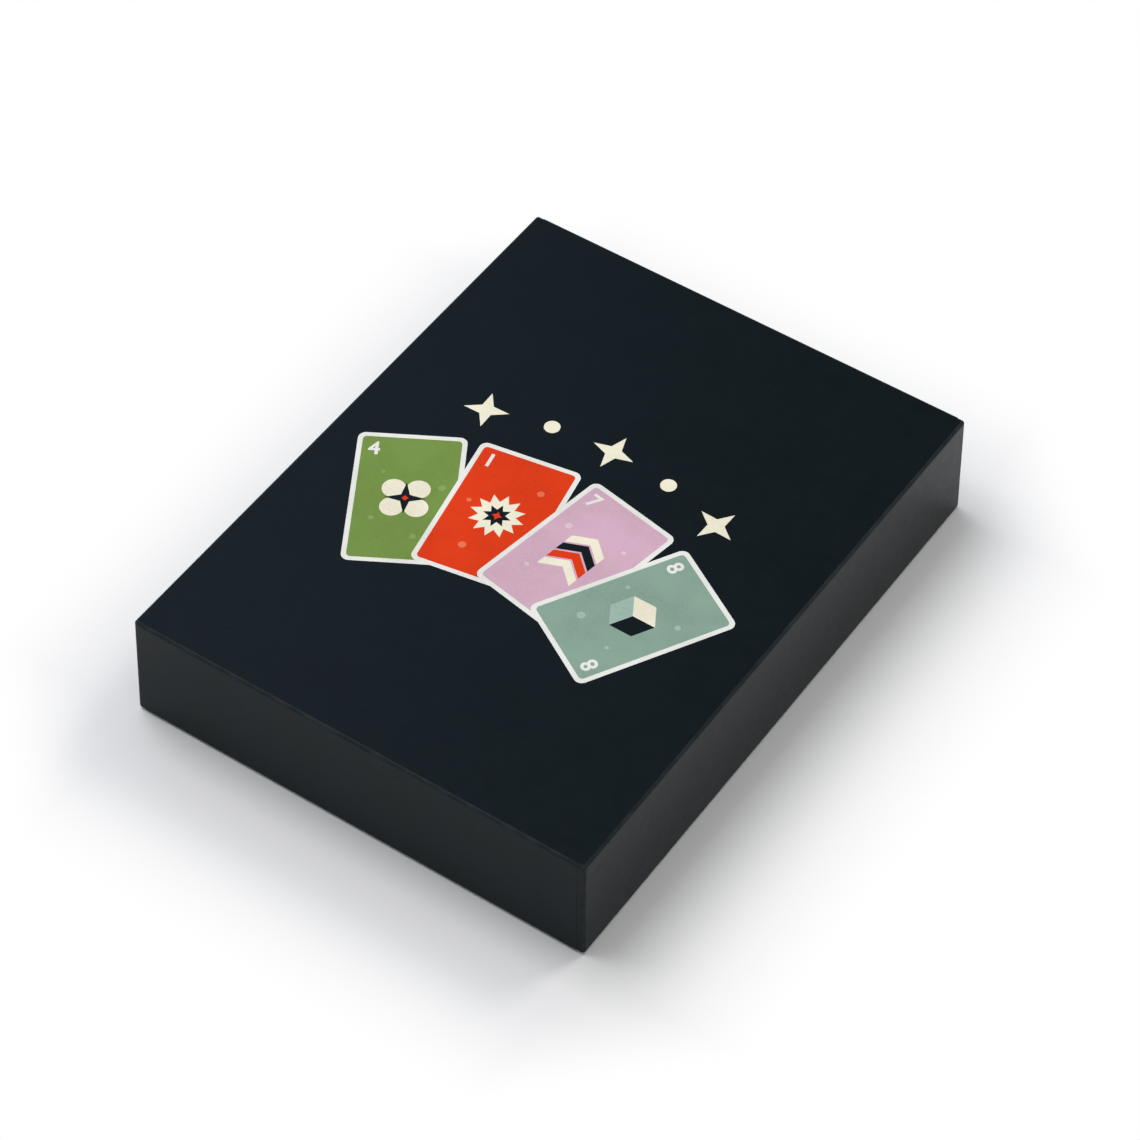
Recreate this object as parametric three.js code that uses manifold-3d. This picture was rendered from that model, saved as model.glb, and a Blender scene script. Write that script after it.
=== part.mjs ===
// A card game in a rigid two-piece box: a base tray, a lift-off lid that reaches down to the table,
// a creased divider, two decks of cards and a rules leaflet.
// Millimetres, Z up. The origin is on the table under the middle of the box. X runs across the box,
// Y along it. Front is -Y, right is +X. The box is made round the cards: 122 x 93 x 23 outside, and
// one millimetre more at the lid's rim, where its walls lean out.

import * as THREE from 'three';
import { mergeVertices } from 'three/addons/utils/BufferGeometryUtils.js';
import Module from 'manifold-3d';

const wasm = await Module();
wasm.setup();

// Cards
const cardLength = 87;
const cardWidth = 56;
const cardThick = 0.3;
const cardCorner = 3.2;
const cardsInDeck = 50;
const singleCards = 21; // pieces of their own, from the top; the cards under them are one piece
const cardSlip = 0.12; // how far a card lies off the middle of its deck
const slipTurn = 2.4; // radians of the slip's wave from one card to the next

// Play round the cards
const deckEndPlay = 0.42;
const deckSidePlay = 0.24;
const headRoom = 4.91; // over the leaflet

// Divider, one creased sheet of carton with a hollow ridge between the decks
const dividerThick = 0.4;
const dividerPlay = 0.15;
const ridgeWidth = 3.4;
const ridgeDrop = 3; // crest under the top of the decks
const notchWidth = 22;
const notchDepth = 6;
const footFilletShare = 0.8; // of the play beside a deck

// Leaflet, one strip of paper in a zigzag fold
const leafletPanels = 4;
const leafletPaper = 0.1;
const leafletPitch = 0.25;
const leafletEndMargin = 5.68;
const leafletSideMargin = 6.92;

// Walls of lid and base: greyboard, corner stays over it, paper over both
const boardThick = 0.8;
const paperThick = 0.12;
const stayThick = 0.1;
const cornerRadius = 0.6; // upright edges, over the paper
const foldRadius = 0.6; // edge between panel and walls, over the paper
const rimRadius = 0.3; // paper turned over a rim
const innerRadius = 0.05; // upright corners inside
const slitWidth = 0.15; // butt joint of the board at a corner
const stayLeg = 10;
const stayRimGap = 1;

// Paper inside a tray and over its ends
const turnInDepth = 14; // glued down inside, from the rim
const turnInTaperRun = 2.5; // a turn-in's corner is cut away over this width
const turnInTaperStart = 3; // from this far under the rim
const lapMargin = 0.4; // from the inner wall's line to the edge of the flap over each end
const lapSlope = 0.1;

// How lid and base meet
const telescopeGap = 0.3; // each side
const lidLean = 0.5; // how far the lid's walls lean out by their rim, each side
const tableGap = 0.4; // lid's rim over the table

// Facets, and how far a cutter reaches past what it cuts
const cornerSteps = 3;
const foldSteps = 3;
const cardSteps = 2;
const bendSteps = 5;
const notchSteps = 24;
const cutOverrun = 1;
const panelCoreShare = 0.8; // of a panel, closed by two large facets

// Sizes that follow
const wallThick = paperThick + stayThick + boardThick + paperThick;
const panelThick = paperThick + boardThick;
const deckHeight = cardsInDeck * cardThick;
const deckGap = ridgeWidth + 2 * deckSidePlay;
const deckBottom = panelThick + dividerThick;
const deckTop = deckBottom + deckHeight;
const leafletHeight = leafletPaper + (leafletPanels - 1) * leafletPitch;
const insideX = cardLength + 2 * deckEndPlay;
const insideY = 2 * cardWidth + deckGap + 2 * deckSidePlay;

const baseTray = {
  halfX: insideX / 2 + wallThick,
  halfY: insideY / 2 + wallThick,
  height: deckTop + leafletHeight + headRoom,
  lean: 0,
};
const boxHeight = baseTray.height + panelThick;
const lidTray = {
  halfX: baseTray.halfX + telescopeGap + wallThick,
  halfY: baseTray.halfY + paperThick + telescopeGap + wallThick,
  height: boxHeight - tableGap,
  lean: lidLean,
};

const quadrants = [
  { x: 1, y: 1 },
  { x: -1, y: 1 },
  { x: -1, y: -1 },
  { x: 1, y: -1 },
];

// Finishes
const finish = (color, roughness) => new THREE.MeshStandardMaterial({ color, roughness, metalness: 0 });
const printedPaper = finish(0x10161d, 0.38);
const greyboard = finish(0x8d887e, 0.95);
const kraftPaper = finish(0xb08d5f, 0.9);
const whiteCarton = finish(0xeceae3, 0.7);
const leafletStock = finish(0xf3f1ea, 0.8);
const cardStock = finish(0xf6f4ee, 0.45);

// Booleans on closed meshes

function toSolid(geometry) {
  const bare = geometry.clone();
  bare.deleteAttribute('normal');
  bare.deleteAttribute('uv');
  const merged = mergeVertices(bare);
  return new wasm.Manifold(new wasm.Mesh({
    numProp: 3,
    vertProperties: new Float32Array(merged.attributes.position.array),
    triVerts: new Uint32Array(merged.index.array),
  }));
}

function toGeometry(solid) {
  const mesh = solid.getMesh();
  const geometry = new THREE.BufferGeometry();
  geometry.setAttribute('position', new THREE.BufferAttribute(mesh.vertProperties, 3));
  geometry.setIndex(new THREE.BufferAttribute(mesh.triVerts, 1));
  geometry.computeVertexNormals();
  return geometry;
}

// Trays: every skin is a loft of rings, from the middle of the panel's outside, over the walls' rim
// and down to the middle of the panel's inside. A tray is lofted with its panel down.

function quarterAngles(steps) {
  return Array.from({ length: steps + 1 }, (_, step) => (step / steps) * (Math.PI / 2));
}

// The points of one upright corner, at an inset from the paper's outside
function cornerPoints(tray, inset, quadrant) {
  const radius = Math.max(cornerRadius - inset, innerRadius);
  const middle = new THREE.Vector2(tray.halfX - inset - radius, tray.halfY - inset - radius);
  const points = quarterAngles(cornerSteps).map((angle) => new THREE.Vector2(
    quadrant.x * (middle.x + radius * Math.cos(angle)),
    quadrant.y * (middle.y + radius * Math.sin(angle)),
  ));
  return quadrant.x * quadrant.y > 0 ? points : points.reverse();
}

// One ring, counter-clockwise. The flap over each end stands out by lap. A free row's corners stay
// near the rim, where the turn-ins' corners are cut away.
function ring(tray, { inset, z, lap = 0, cornerZ = z }) {
  const points = [];
  const seamX = tray.halfX - wallThick - lapMargin;
  const taperX = tray.halfX - wallThick - turnInTaperRun;
  const taperY = tray.halfY - wallThick - turnInTaperRun;
  quadrants.forEach((quadrant, index) => {
    cornerPoints(tray, inset, quadrant).forEach(({ x, y }) => points.push([x, y, cornerZ]));
    if (index % 2 === 0) {
      const way = quadrant.x;
      const y = quadrant.y * (tray.halfY - inset);
      const raised = quadrant.y * (tray.halfY - inset + lap);
      points.push([way * seamX, y, cornerZ]);
      points.push([way * (seamX - lapSlope), raised, cornerZ]);
      points.push([way * taperX, raised, z]);
      points.push([-way * taperX, raised, z]);
      points.push([-way * (seamX - lapSlope), raised, cornerZ]);
      points.push([-way * seamX, y, cornerZ]);
    } else {
      const x = quadrant.x * (tray.halfX - inset);
      points.push([x, quadrant.y * taperY, z]);
      points.push([x, -quadrant.y * taperY, z]);
    }
  });
  return points;
}

// The triangles that close a ring over a plain rectangle, whose corners are numbered from first
function closing(points, first) {
  const nearest = points.map(([x, y]) => quadrants.findIndex((way) => way.x * x > 0 && way.y * y > 0));
  const triangles = [[first, first + 1, first + 2], [first, first + 2, first + 3]];
  points.forEach((point, side) => {
    const next = (side + 1) % points.length;
    triangles.push([side, next, first + nearest[next]]);
    if (nearest[side] !== nearest[next]) {
      triangles.push([side, first + nearest[next], first + nearest[side]]);
    }
  });
  return triangles;
}

// Joins rings of equally many points, and closes the first and last over the middle of the tray
function loft(rings, tray) {
  const count = rings[0].length;
  const last = rings.length - 1;
  const core = (z) => quadrants.map((way) => [
    way.x * tray.halfX * panelCoreShare,
    way.y * tray.halfY * panelCoreShare,
    z,
  ]);
  const positions = [...rings.flat(), ...core(rings[0][0][2]), ...core(rings[last][0][2])];
  const firstCore = rings.length * count;
  const index = closing(rings[0], firstCore).map((triangle) => triangle.reverse());
  const top = closing(rings[last], count + quadrants.length);
  const lift = (corner) => (corner < count ? last * count + corner : firstCore + corner - count);
  index.push(...top.map((triangle) => triangle.map(lift)));
  for (let row = 0; row < last; row += 1) {
    for (let side = 0; side < count; side += 1) {
      const next = (side + 1) % count;
      const low = row * count;
      const high = low + count;
      index.push([low + side, low + next, high + next]);
      index.push([low + side, high + next, high + side]);
    }
  }
  const geometry = new THREE.BufferGeometry();
  geometry.setAttribute('position', new THREE.Float32BufferAttribute(positions.flat(), 3));
  geometry.setIndex(index.flat());
  geometry.computeVertexNormals();
  return geometry;
}

// Paper: outside, round the rim, tapered turn-in, then back between paper and board
function wrapGeometry(tray) {
  const angles = quarterAngles(foldSteps);
  const lap = paperThick;
  const insideFold = foldRadius - paperThick;
  const rim = tray.height;
  const free = { z: rim - turnInDepth, cornerZ: rim - turnInTaperStart };
  const boardInset = wallThick - paperThick;
  const rows = [
    ...angles.map((angle) => ({
      inset: foldRadius * (1 - Math.sin(angle)),
      z: foldRadius * (1 - Math.cos(angle)),
      lap,
    })),
    ...angles.map((angle) => ({
      inset: rimRadius * (1 - Math.cos(angle)),
      z: rim - rimRadius * (1 - Math.sin(angle)),
      lap,
    })),
    ...angles.map((angle) => ({
      inset: wallThick - rimRadius * (1 - Math.sin(angle)),
      z: rim - rimRadius * (1 - Math.cos(angle)),
    })),
    { inset: wallThick, ...free },
    { inset: boardInset, ...free },
    { inset: boardInset, z: rim - paperThick },
    { inset: paperThick, z: rim - paperThick },
    ...angles.reverse().map((angle) => ({
      inset: foldRadius - insideFold * Math.sin(angle),
      z: foldRadius - insideFold * Math.cos(angle),
    })),
  ];
  return loft(rows.map((row) => ring(tray, row)), tray);
}

// Board: panel and walls folded up from it, cut apart at the corners
function boardGeometry(tray) {
  const outside = paperThick + stayThick;
  const inside = wallThick - paperThick;
  const radius = foldRadius - paperThick;
  const rows = [
    ...quarterAngles(foldSteps).map((angle) => ({
      inset: outside + radius * (1 - Math.sin(angle)),
      z: paperThick + radius * (1 - Math.cos(angle)),
    })),
    { inset: outside, z: tray.height - paperThick },
    { inset: inside, z: tray.height - paperThick },
    { inset: inside, z: panelThick },
  ];
  const folded = toSolid(loft(rows.map((row) => ring(tray, row)), tray));
  const cut = quadrants.reduce((board, quadrant) => board.subtract(cornerSlit(tray, quadrant)), folded);
  return toGeometry(cut);
}

// The butt joint at one corner: the end wall stops against the long wall's inside
function cornerSlit(tray, quadrant) {
  const depth = boardThick + 2 * cutOverrun;
  const height = tray.height - panelThick + cutOverrun;
  const slit = new THREE.BoxGeometry(slitWidth, depth, height);
  slit.translate(
    quadrant.x * (tray.halfX - wallThick + paperThick - slitWidth / 2),
    quadrant.y * (tray.halfY - paperThick - stayThick - boardThick / 2),
    panelThick + height / 2,
  );
  return toSolid(slit);
}

// One strip of tape bent round a corner of the board, under the paper
function stayGeometry(tray, quadrant) {
  const boardInset = paperThick + stayThick;
  const leg = (inset) => {
    const alongX = new THREE.Vector2(quadrant.x * (tray.halfX - stayLeg), quadrant.y * (tray.halfY - inset));
    const alongY = new THREE.Vector2(quadrant.x * (tray.halfX - inset), quadrant.y * (tray.halfY - stayLeg));
    const bend = cornerPoints(tray, inset, quadrant);
    return quadrant.x * quadrant.y > 0 ? [alongY, ...bend, alongX] : [alongX, ...bend, alongY];
  };
  const shape = new THREE.Shape([...leg(boardInset), ...leg(paperThick).reverse()]);
  const depth = tray.height - foldRadius - stayRimGap;
  const geometry = new THREE.ExtrudeGeometry(shape, { depth, bevelEnabled: false });
  return geometry.translate(0, 0, foldRadius);
}

// Widens a tray from its panel to its rim
function leanOut(geometry, tray) {
  const place = geometry.attributes.position;
  for (let point = 0; point < place.count; point += 1) {
    const lean = (tray.lean * place.getZ(point)) / tray.height;
    place.setX(point, place.getX(point) * (1 + lean / tray.halfX));
    place.setY(point, place.getY(point) * (1 + lean / tray.halfY));
  }
  geometry.computeVertexNormals();
  return geometry;
}

function sideName(quadrant, facing) {
  const depthName = quadrant.y > 0 ? 'back' : 'front';
  const widthName = quadrant.x * facing > 0 ? 'right' : 'left';
  return `${depthName}_${widthName}`;
}

function meshOf(name, geometry, material) {
  const mesh = new THREE.Mesh(geometry, material.clone());
  mesh.name = name;
  return mesh;
}

// Facing is 1 for a tray that stands with its panel down, and -1 for one turned over about Y
function trayGroup(owner, tray, facing) {
  const group = new THREE.Group();
  const add = (name, geometry, material) => group.add(meshOf(name, leanOut(geometry, tray), material));
  add(`${owner}_board`, boardGeometry(tray), greyboard);
  add(`${owner}_wrap`, wrapGeometry(tray), printedPaper);
  quadrants.forEach((quadrant) => {
    add(`${owner}_corner_stay_${sideName(quadrant, facing)}`, stayGeometry(tray, quadrant), kraftPaper);
  });
  return group;
}

// Folded sheets: a centre line of straights and bends, given a thickness and run along an axis

function sheetShape(line, thick) {
  const left = [];
  const right = [];
  line.forEach((point, index) => {
    const before = line[Math.max(index - 1, 0)];
    const after = line[Math.min(index + 1, line.length - 1)];
    const into = (index > 0 ? point.clone().sub(before) : after.clone().sub(point)).normalize();
    const out = (index < line.length - 1 ? after.clone().sub(point) : into.clone()).normalize();
    const normal = new THREE.Vector2(-into.y, into.x);
    const mitre = new THREE.Vector2(-into.y - out.y, into.x + out.x).normalize();
    mitre.multiplyScalar(thick / 2 / mitre.dot(normal));
    left.push(point.clone().add(mitre));
    right.push(point.clone().sub(mitre));
  });
  return new THREE.Shape([...left, ...right.reverse()]);
}

function foldedSheet(path, thick, depth) {
  const shape = sheetShape(path.getPoints(bendSteps), thick);
  const geometry = new THREE.ExtrudeGeometry(shape, { depth, bevelEnabled: false });
  return geometry.translate(0, 0, -depth / 2);
}

// The divider's centre line, seen from +X with Y to the right: floor, ridge, floor
function dividerPath() {
  const endY = insideY / 2 - dividerPlay;
  const floorZ = panelThick + dividerThick / 2;
  const footBend = dividerThick / 2 + deckSidePlay * footFilletShare;
  const crestBend = dividerThick;
  const ridgeY = ridgeWidth / 2 - dividerThick / 2;
  const crestZ = deckTop - ridgeDrop - dividerThick / 2;
  const path = new THREE.Path();
  path.moveTo(-endY, floorZ);
  path.lineTo(-ridgeY - footBend, floorZ);
  path.absarc(-ridgeY - footBend, floorZ + footBend, footBend, -Math.PI / 2, 0, false);
  path.lineTo(-ridgeY, crestZ - crestBend);
  path.absarc(-ridgeY + crestBend, crestZ - crestBend, crestBend, Math.PI, Math.PI / 2, true);
  path.lineTo(ridgeY - crestBend, crestZ);
  path.absarc(ridgeY - crestBend, crestZ - crestBend, crestBend, Math.PI / 2, 0, true);
  path.lineTo(ridgeY, floorZ + footBend);
  path.absarc(ridgeY + footBend, floorZ + footBend, footBend, Math.PI, Math.PI * 1.5, false);
  path.lineTo(endY, floorZ);
  return path;
}

// Turns a profile drawn in Y and Z, and run along the shape's own third axis, to stand along X
function standAlongX(geometry) {
  const turn = new THREE.Matrix4().makeBasis(
    new THREE.Vector3(0, 1, 0),
    new THREE.Vector3(0, 0, 1),
    new THREE.Vector3(1, 0, 0),
  );
  return geometry.applyMatrix4(turn);
}

// Turns a profile drawn in X and Z to run along Y
function standAlongY(geometry) {
  const turn = new THREE.Matrix4().makeBasis(
    new THREE.Vector3(1, 0, 0),
    new THREE.Vector3(0, 0, 1),
    new THREE.Vector3(0, -1, 0),
  );
  return geometry.applyMatrix4(turn);
}

// A half-moon through the ridge, where a fingertip gets at the cards' edges
function thumbNotch() {
  const crestZ = deckTop - ridgeDrop;
  const shape = new THREE.Shape();
  shape.moveTo(notchWidth / 2, crestZ + cutOverrun);
  shape.lineTo(-notchWidth / 2, crestZ + cutOverrun);
  shape.lineTo(-notchWidth / 2, crestZ);
  shape.absellipse(0, crestZ, notchWidth / 2, notchDepth, Math.PI, Math.PI * 2, false, 0);
  const depth = ridgeWidth + 2 * cutOverrun;
  const geometry = new THREE.ExtrudeGeometry(shape, {
    depth,
    bevelEnabled: false,
    curveSegments: notchSteps,
  });
  geometry.translate(0, 0, -depth / 2);
  return toSolid(standAlongY(geometry));
}

function dividerGeometry() {
  const sheet = standAlongX(foldedSheet(dividerPath(), dividerThick, insideX - 2 * dividerPlay));
  return toGeometry(toSolid(sheet).subtract(thumbNotch()));
}

// The leaflet's centre line, seen from the front: panels that lie on each other, joined by round folds
function leafletPath() {
  const halfWidth = insideX / 2 - leafletSideMargin;
  const foldX = halfWidth - leafletPitch / 2 - leafletPaper / 2;
  const lowZ = deckTop + leafletPaper / 2;
  const path = new THREE.Path();
  path.moveTo(-halfWidth, lowZ);
  for (let panel = 0; panel < leafletPanels; panel += 1) {
    const way = panel % 2 === 0 ? 1 : -1;
    const z = lowZ + panel * leafletPitch;
    if (panel === leafletPanels - 1) {
      path.lineTo(way * halfWidth, z);
    } else {
      path.lineTo(way * foldX, z);
      path.absarc(way * foldX, z + leafletPitch / 2, leafletPitch / 2, -Math.PI / 2, Math.PI / 2, way < 0);
    }
  }
  return path;
}

function leafletGeometry() {
  return standAlongY(foldedSheet(leafletPath(), leafletPaper, insideY - 2 * leafletEndMargin));
}

// Cards

function cardGeometry(thick) {
  const middleX = cardLength / 2 - cardCorner;
  const middleY = cardWidth / 2 - cardCorner;
  const shape = new THREE.Shape();
  shape.absarc(middleX, middleY, cardCorner, 0, Math.PI / 2, false);
  shape.absarc(-middleX, middleY, cardCorner, Math.PI / 2, Math.PI, false);
  shape.absarc(-middleX, -middleY, cardCorner, Math.PI, Math.PI * 1.5, false);
  shape.absarc(middleX, -middleY, cardCorner, Math.PI * 1.5, Math.PI * 2, false);
  return new THREE.ExtrudeGeometry(shape, {
    depth: thick,
    bevelEnabled: false,
    curveSegments: cardSteps,
  });
}

// Side is -1 for the front deck and 1 for the back one. Card 1 is the top one.
function deckGroup(name, side) {
  const group = new THREE.Group();
  const lowerHeight = (cardsInDeck - singleCards) * cardThick;
  group.add(meshOf(`${name}_lower_cards`, cardGeometry(lowerHeight), cardStock));
  for (let card = 1; card <= singleCards; card += 1) {
    const mesh = meshOf(`${name}_card_${String(card).padStart(2, '0')}`, cardGeometry(cardThick), cardStock);
    mesh.position.x = side * cardSlip * Math.sin(card * slipTurn);
    mesh.position.z = deckHeight - card * cardThick;
    group.add(mesh);
  }
  group.position.set(0, side * (deckGap / 2 + cardWidth / 2), deckBottom);
  return group;
}

const cardGame = new THREE.Group();
cardGame.add(trayGroup('base', baseTray, 1));

const lid = trayGroup('lid', lidTray, -1);
lid.rotation.y = Math.PI;
lid.position.z = boxHeight;
cardGame.add(lid);

cardGame.add(meshOf('card_divider', dividerGeometry(), whiteCarton));
cardGame.add(deckGroup('front_deck', -1));
cardGame.add(deckGroup('back_deck', 1));
cardGame.add(meshOf('rules_leaflet', leafletGeometry(), leafletStock));

export default cardGame;
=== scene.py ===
# Looks of a card game in a rigid two-piece box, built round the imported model.
# Metres and Z up, as in the model. Shapes are drawn in millimetres and scaled once, when a piece is built.

import math

import bmesh
import bpy
from mathutils import Matrix, Vector
from mathutils.geometry import delaunay_2d_cdt


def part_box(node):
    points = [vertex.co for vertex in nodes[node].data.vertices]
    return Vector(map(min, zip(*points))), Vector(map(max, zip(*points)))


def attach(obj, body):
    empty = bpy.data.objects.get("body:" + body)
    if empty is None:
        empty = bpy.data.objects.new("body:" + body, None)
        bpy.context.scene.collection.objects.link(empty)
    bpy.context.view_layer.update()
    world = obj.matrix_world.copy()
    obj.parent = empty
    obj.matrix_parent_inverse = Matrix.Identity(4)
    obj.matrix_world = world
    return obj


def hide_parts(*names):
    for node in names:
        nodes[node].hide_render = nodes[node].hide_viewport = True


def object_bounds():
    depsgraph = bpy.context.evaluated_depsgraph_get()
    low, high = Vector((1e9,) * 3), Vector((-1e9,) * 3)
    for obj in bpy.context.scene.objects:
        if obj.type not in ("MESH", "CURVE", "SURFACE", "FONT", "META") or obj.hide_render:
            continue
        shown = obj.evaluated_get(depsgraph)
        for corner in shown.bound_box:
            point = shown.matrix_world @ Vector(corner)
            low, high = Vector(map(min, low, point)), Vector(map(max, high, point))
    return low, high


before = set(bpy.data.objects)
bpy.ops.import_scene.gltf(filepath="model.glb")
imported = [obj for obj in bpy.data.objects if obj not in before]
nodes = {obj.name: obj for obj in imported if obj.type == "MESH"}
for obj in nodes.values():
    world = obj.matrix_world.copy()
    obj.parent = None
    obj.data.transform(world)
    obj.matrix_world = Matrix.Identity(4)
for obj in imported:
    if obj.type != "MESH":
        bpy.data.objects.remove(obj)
cad_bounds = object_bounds()

MM = 0.001

# The photograph's view, fitted to the corners of the box
CAMERA_AZIMUTH = math.radians(33.54)  # from straight in front of the box, towards its right
CAMERA_ELEVATION = math.radians(48.77)
CAMERA_ROLL = math.radians(0.87)
CAMERA_DISTANCE = 708.3
CAMERA_TARGET = Vector((2.46, -0.09, 11.0))
FOCAL_PIXELS = 4005.4
IMAGE_PIXELS = 1140
SENSOR_WIDTH = 36.0

# Paper round the boards, as the model has it
PAPER = 0.12
WALL = 1.14
CORNER_RADIUS = 0.6
FOLD_RADIUS = 0.6
RIM_RADIUS = 0.3
INNER_RADIUS = 0.05
TURN_IN_DEPTH = 14.0
TAPER_RUN = 2.5
TAPER_START = 3.0
LAP_MARGIN = 0.4
LAP_SLOPE = 0.05
SUPPORT = 0.5  # rows that keep the flat faces flat lie this far from a fold
LID_LEAN = 0.5  # how far the lid's walls lean out by their rim
CORNER_STEPS = 8
FOLD_STEPS = 8

# Rubbed folds: how far the paper's colour goes pale, partly to bare fibre by wear and partly as a painted
# highlight along the folds, and how much rougher the film is
CORNER_WEAR_AND_HIGHLIGHT = 0.7
RUBBED_AND_HIGHLIGHT_SHARE = 0.09
RUBBED_ROUGHNESS = 0.3

# Cards
CARD_LENGTH = 87.0
CARD_WIDTH = 56.0
CARD_CORNER = 3.2
CARD_CORNER_STEPS = 8
CARD_AIR = 0.015  # between one card and the next
CARD_EDGE = 0.02  # chamfer that the die leaves
CARD_BORDER = 2.6
SINGLE_CARDS = 21

# A loose card lies off the middle of its deck by a slip times the sine of its number times a turn
STACK_SLIP = 0.12
STACK_SLIP_TURN = 2.4
STACK_SIDE_SLIP = 0.05
STACK_SIDE_TURN = 1.7

# Printed on a card: a coloured field with a numeral at two corners
FIELD_WIDTH = CARD_WIDTH - 2 * CARD_BORDER
FIELD_HEIGHT = CARD_LENGTH - 2 * CARD_BORDER
FIELD_CORNER = 0.7 * CARD_CORNER
NUMERAL_HEIGHT = 9.0
NUMERAL_PLACE = Vector((-19.0, 33.0))
NUMERAL_BOLDNESS = 0.022  # of the font's size
NUMERAL_CURVE_STEPS = 5
NUMERAL_WELD = 1e-5

# Printed on the lid: a fan of four small cards under an arc of sparks and dots
FAN = (("green", 4), ("red", 1), ("lilac", 7), ("teal", 8))
FAN_SCALE = 0.35
FAN_PIVOT = Vector((-1.0, -53.0))
FAN_RADIUS = 48.0
FAN_STEP = math.radians(20)
FAN_CARD_CORNER = 1.3 * CARD_CORNER
SPARKS = 5
SPARK_RADIUS = 71.5
SPARK_STEP = math.radians(10)
SPARK_TIP = 4.2
SPARK_WAIST = 1.5
DOT_RADIUS = 1.5

# Leaflet
LEAFLET_PAPER = 0.1
LEAFLET_PANELS = 4
LEAFLET_BEND_STEPS = 10

# Meshes
QUADRANTS = ((1, 1), (-1, 1), (-1, -1), (1, -1))
CIRCLE_STEPS = 32
SMOOTH_ANGLE = math.radians(35)
CDT_INSIDE = 1
CDT_EPSILON = 1e-6
WELD_DIGITS = 4

# Most of what a noise texture spans
NOISE_LOW = 0.3
NOISE_HIGH = 0.7


# Colours

def colour(code):
    """Linear red, green, blue and alpha of an sRGB code."""
    shares = [(code >> shift & 255) / 255 for shift in (16, 8, 0)]
    linear = [v / 12.92 if v <= 0.04045 else ((v + 0.055) / 1.055) ** 2.4 for v in shares]
    return (*linear, 1.0)


def shade(ink, factor):
    """A lighter or darker tone of a colour."""
    return (*[min(v * factor, 1.0) for v in ink[:3]], 1.0)


INKS = {
    "night": colour(0x081418),
    "green": colour(0x769344),
    "light_green": colour(0x8AA35A),
    "lilac": colour(0xD5AEC0),
    "light_lilac": colour(0xE0C4D3),
    "red": colour(0xE03A06),
    "light_red": colour(0xE8734F),
    "teal": colour(0x8AA695),
    "light_teal": colour(0xA3BDB0),
    "cream": colour(0xF2ECD3),
    "white": colour(0xECECE4),
    "grey": colour(0x8F9396),
}


# Materials

class Finish:
    """A material round one Principled shader, with short ways to add the nodes that drive it."""

    def __init__(self, name):
        self.material = bpy.data.materials.new(name)
        self.material.use_nodes = True
        self.tree = self.material.node_tree
        self.shader = self.tree.nodes["Principled BSDF"]
        self.place = self.add("ShaderNodeTexCoord").outputs["Object"]
        self.normal = None

    def feed(self, socket, value):
        """Links an output to an input, or sets the input to a constant."""
        if isinstance(value, bpy.types.NodeSocket):
            self.tree.links.new(value, socket)
        else:
            socket.default_value = value

    def add(self, kind, inputs=None, **settings):
        node = self.tree.nodes.new(kind)
        for key, value in settings.items():
            setattr(node, key, value)
        for key, value in (inputs or {}).items():
            self.feed(node.inputs[key], value)
        return node

    def noise(self, size, detail=2.0, stretch=(1, 1, 1)):
        """Noise with features of a size in millimetres, stretched along the axes."""
        place = self.add("ShaderNodeMapping", {"Vector": self.place, "Scale": [1 / s for s in stretch]})
        inputs = {"Vector": place.outputs[0], "Scale": 1 / (size * MM), "Detail": detail}
        return self.add("ShaderNodeTexNoise", inputs).outputs["Fac"]

    def fit(self, value, low=NOISE_LOW, high=NOISE_HIGH, to_low=0.0, to_high=1.0):
        """Stretches one range of a value over another, and holds it at the ends."""
        inputs = {"Value": value, "From Min": low, "From Max": high, "To Min": to_low, "To Max": to_high}
        return self.add("ShaderNodeMapRange", inputs, interpolation_type="SMOOTHSTEP").outputs[0]

    def times(self, first, second):
        return self.add("ShaderNodeMath", {0: first, 1: second}, operation="MULTIPLY").outputs[0]

    def mix(self, share, first, second):
        node = self.add("ShaderNodeMix", data_type="RGBA")
        sockets = {socket.name: socket for socket in node.inputs if socket.enabled}
        for key, value in {"Factor": share, "A": first, "B": second}.items():
            self.feed(sockets[key], value)
        return next(socket for socket in node.outputs if socket.enabled)

    def bump(self, height, depth, strength=1.0):
        """Raises the surface by up to a depth in millimetres, on top of what is there."""
        inputs = {"Height": height, "Distance": depth * MM, "Strength": strength}
        if self.normal is not None:
            inputs["Normal"] = self.normal
        self.normal = self.add("ShaderNodeBump", inputs).outputs["Normal"]

    def finish(self, base, roughness, specular):
        self.feed(self.shader.inputs["Base Color"], base)
        self.feed(self.shader.inputs["Roughness"], roughness)
        self.feed(self.shader.inputs["Specular IOR Level"], specular)
        if self.normal is not None:
            self.feed(self.shader.inputs["Normal"], self.normal)
        return self.material


def laminated(name, ink):
    """Printed paper under a matt film, glued over board: faint mottling, film grain, and folds made paler by
    wear and by a painted highlight.
    """
    look = Finish(name)
    mottle = look.fit(look.noise(9, detail=4))
    fibre = look.fit(look.noise(0.5, detail=3))
    body = look.mix(mottle, shade(ink, 0.92), shade(ink, 1.08))
    body = look.mix(look.times(fibre, 0.5), body, shade(ink, 1.12))
    wear = look.add("ShaderNodeAttribute", attribute_name="wear").outputs["Fac"]
    rub_and_highlight = look.times(wear, look.fit(look.noise(3, detail=4), low=0.35, to_low=0.5))
    # The folds, the rim and the corners go paler grey: partly wear to bare fibre, partly a painted highlight
    # along the bends
    body = look.mix(look.times(rub_and_highlight, RUBBED_AND_HIGHLIGHT_SHARE), body, colour(0x8A8F94))
    film = look.fit(look.noise(2.2, detail=3), low=0.25, high=0.75, to_low=0.27, to_high=0.33)
    rubbed = {0: wear, 1: RUBBED_ROUGHNESS, 2: film}
    roughness = look.add("ShaderNodeMath", rubbed, operation="MULTIPLY_ADD").outputs[0]
    look.bump(look.noise(16), depth=0.05, strength=0.6)
    look.bump(look.noise(0.7), depth=0.003, strength=0.6)
    return look.finish(body, roughness, specular=0.1)


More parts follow.
